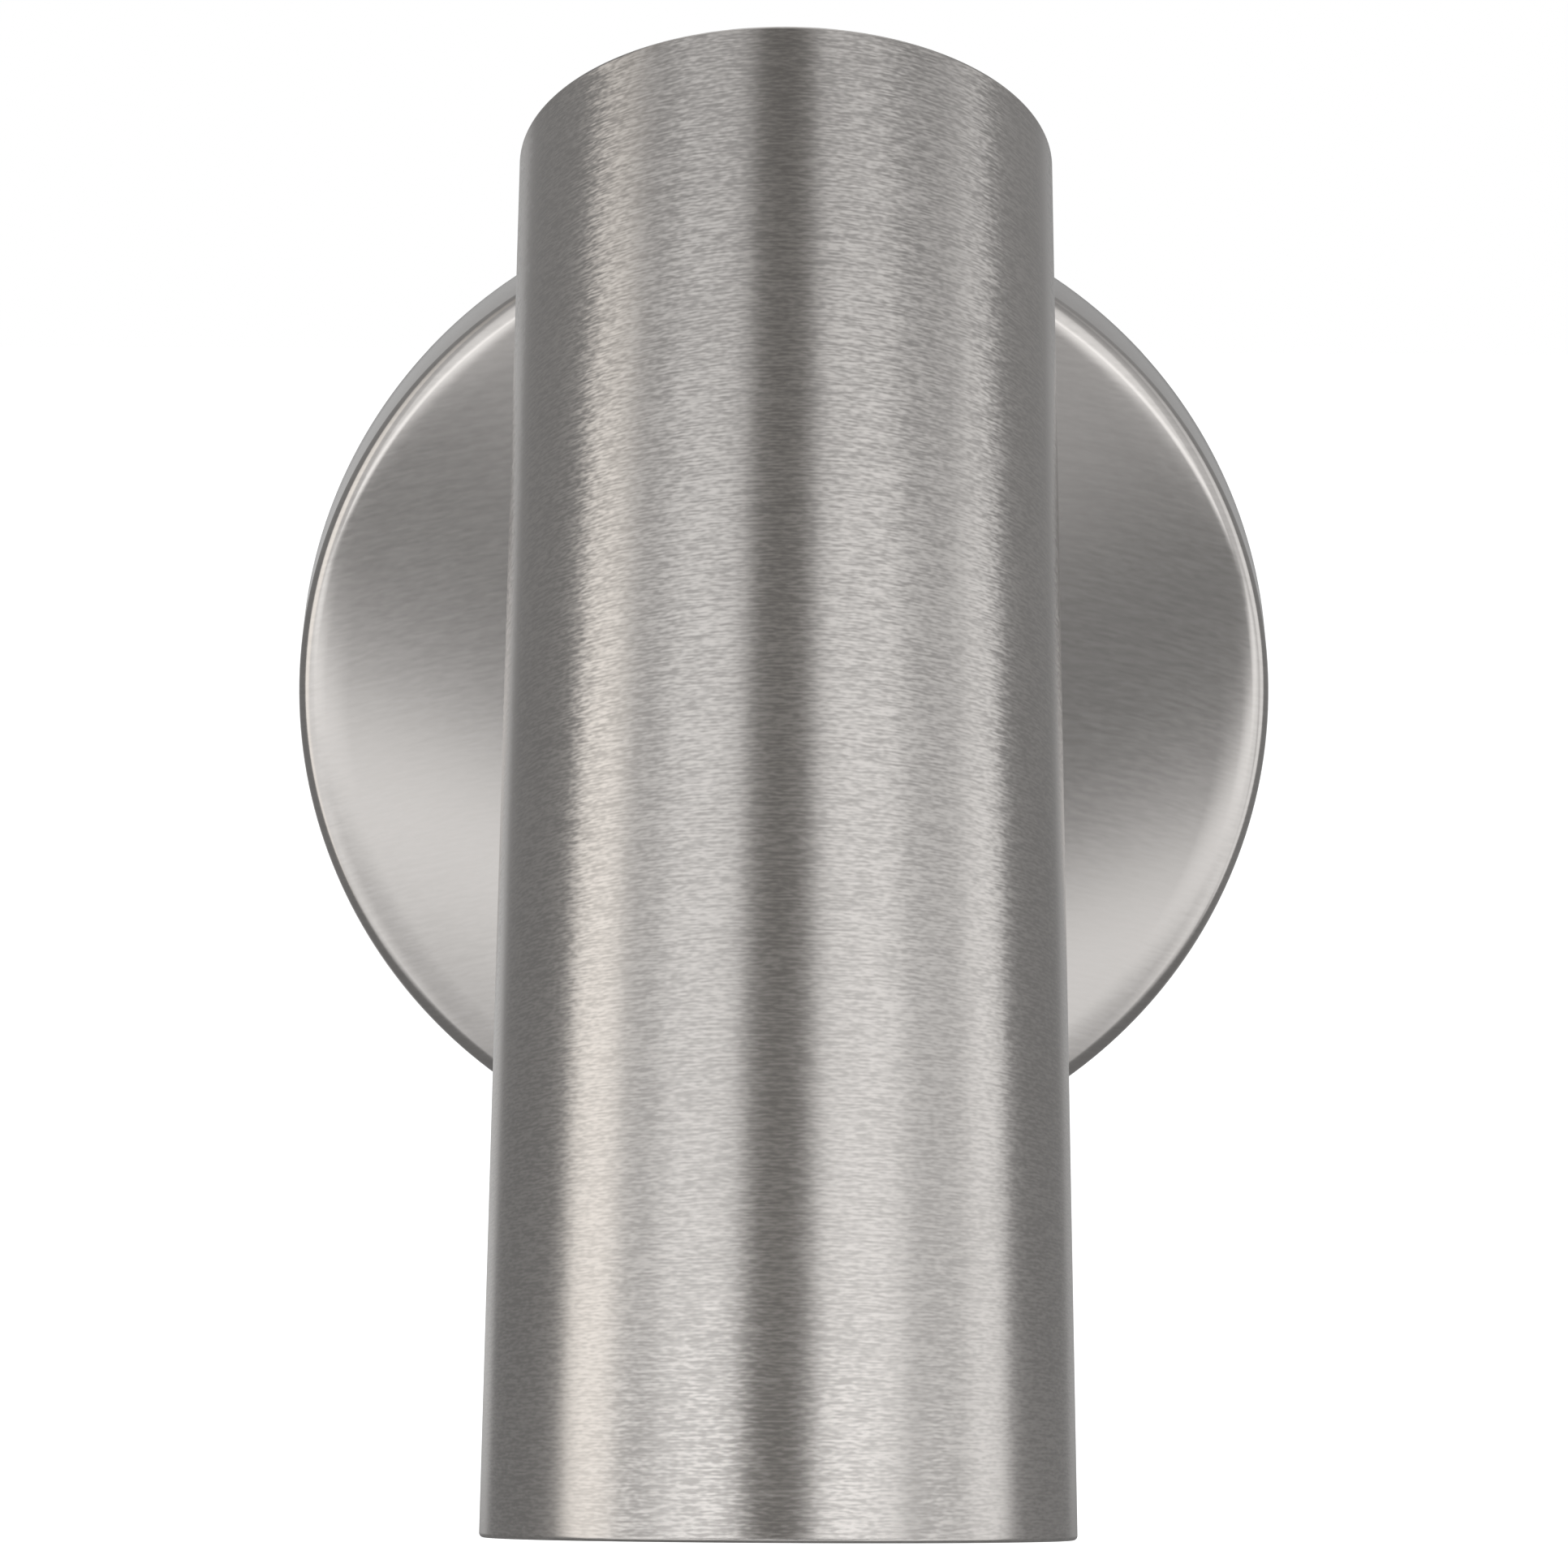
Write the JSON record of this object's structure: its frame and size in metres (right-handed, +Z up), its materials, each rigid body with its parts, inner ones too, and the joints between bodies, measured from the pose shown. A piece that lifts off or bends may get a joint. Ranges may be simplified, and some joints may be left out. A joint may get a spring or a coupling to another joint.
{
  "type": "wall spot lamp",
  "caption": "Wall spot lamp: a brushed tube head on a short swivel stem with a tilting knuckle, in front of a round canopy.",
  "frame": {"origin": "centre of the mounting bar's slot pattern, on the wall plane", "axes": "+Z up, +Y into the wall, +X to the right of someone who faces the wall"},
  "size_m": [0.13, 0.1468, 0.152],
  "materials": {
    "brushed_nickel": "brushed round the tube, satin, short fine strokes",
    "zinc_steel": "bright zinc plate",
    "green_steel": "green passivated screw",
    "nylon": "natural nylon",
    "friction_fibre": "pressed fibre",
    "black_insulation": "silicone sleeving",
    "white_insulation": "silicone sleeving",
    "green_insulation": "silicone sleeving",
    "connector_plastic": "moulded",
    "glazed_ceramic": "unglazed white",
    "lamp_plastic": "moulded",
    "lamp_coating": "moulded over aluminium",
    "pin_brass": "nickel-free pins",
    "lens": "frosted"
  },
  "bodies": {
    "base": {"mounting_bar": "zinc_steel", "ground_screw": "green_steel", "canopy": "brushed_nickel", "canopy_studs": "zinc_steel", "stud_nuts": "zinc_steel", "cap_nuts": "brushed_nickel", "swivel_bush": "nylon", "friction_washer": "nylon", "stop_pin": "zinc_steel", "line_lead_base": "black_insulation", "neutral_lead_base": "white_insulation", "ground_lead": "green_insulation", "wire_connectors": "connector_plastic"},
    "stem": {"arm_stem": "brushed_nickel", "disc_spring": "zinc_steel", "swivel_washer": "zinc_steel", "swivel_nut": "zinc_steel", "stem_knuckle": "brushed_nickel", "knuckle_disc": "friction_fibre", "knuckle_screw": "zinc_steel", "spring_washer": "zinc_steel", "knuckle_nut": "zinc_steel", "line_lead_stem": "black_insulation", "neutral_lead_stem": "white_insulation"},
    "head": {"head_knuckle": "brushed_nickel", "saddle_washer": "brushed_nickel", "shade_tube": "brushed_nickel", "neck_washer": "zinc_steel", "neck_nut": "zinc_steel", "socket_bracket": "zinc_steel", "lamp_socket": "glazed_ceramic", "socket_screws": "zinc_steel", "lamp_base": "lamp_plastic", "lamp_pins": "pin_brass", "lamp_housing": "lamp_coating", "lamp_lens": "lens", "end_cap": "brushed_nickel", "line_lead_head": "black_insulation", "neutral_lead_head": "white_insulation"}
  },
  "joints": [
    {"name": "swivel", "type": "hinge", "parent": "base", "child": "stem", "pos_m": [0, -0.0152, 0], "axis": [0, -1, 0], "range_deg": [-165, 165]},
    {"name": "head_tilt", "type": "hinge", "parent": "stem", "child": "head", "pos_m": [0, -0.0421, 0], "axis": [-1, 0, 0], "range_deg": [-50, 8]}
  ]
}
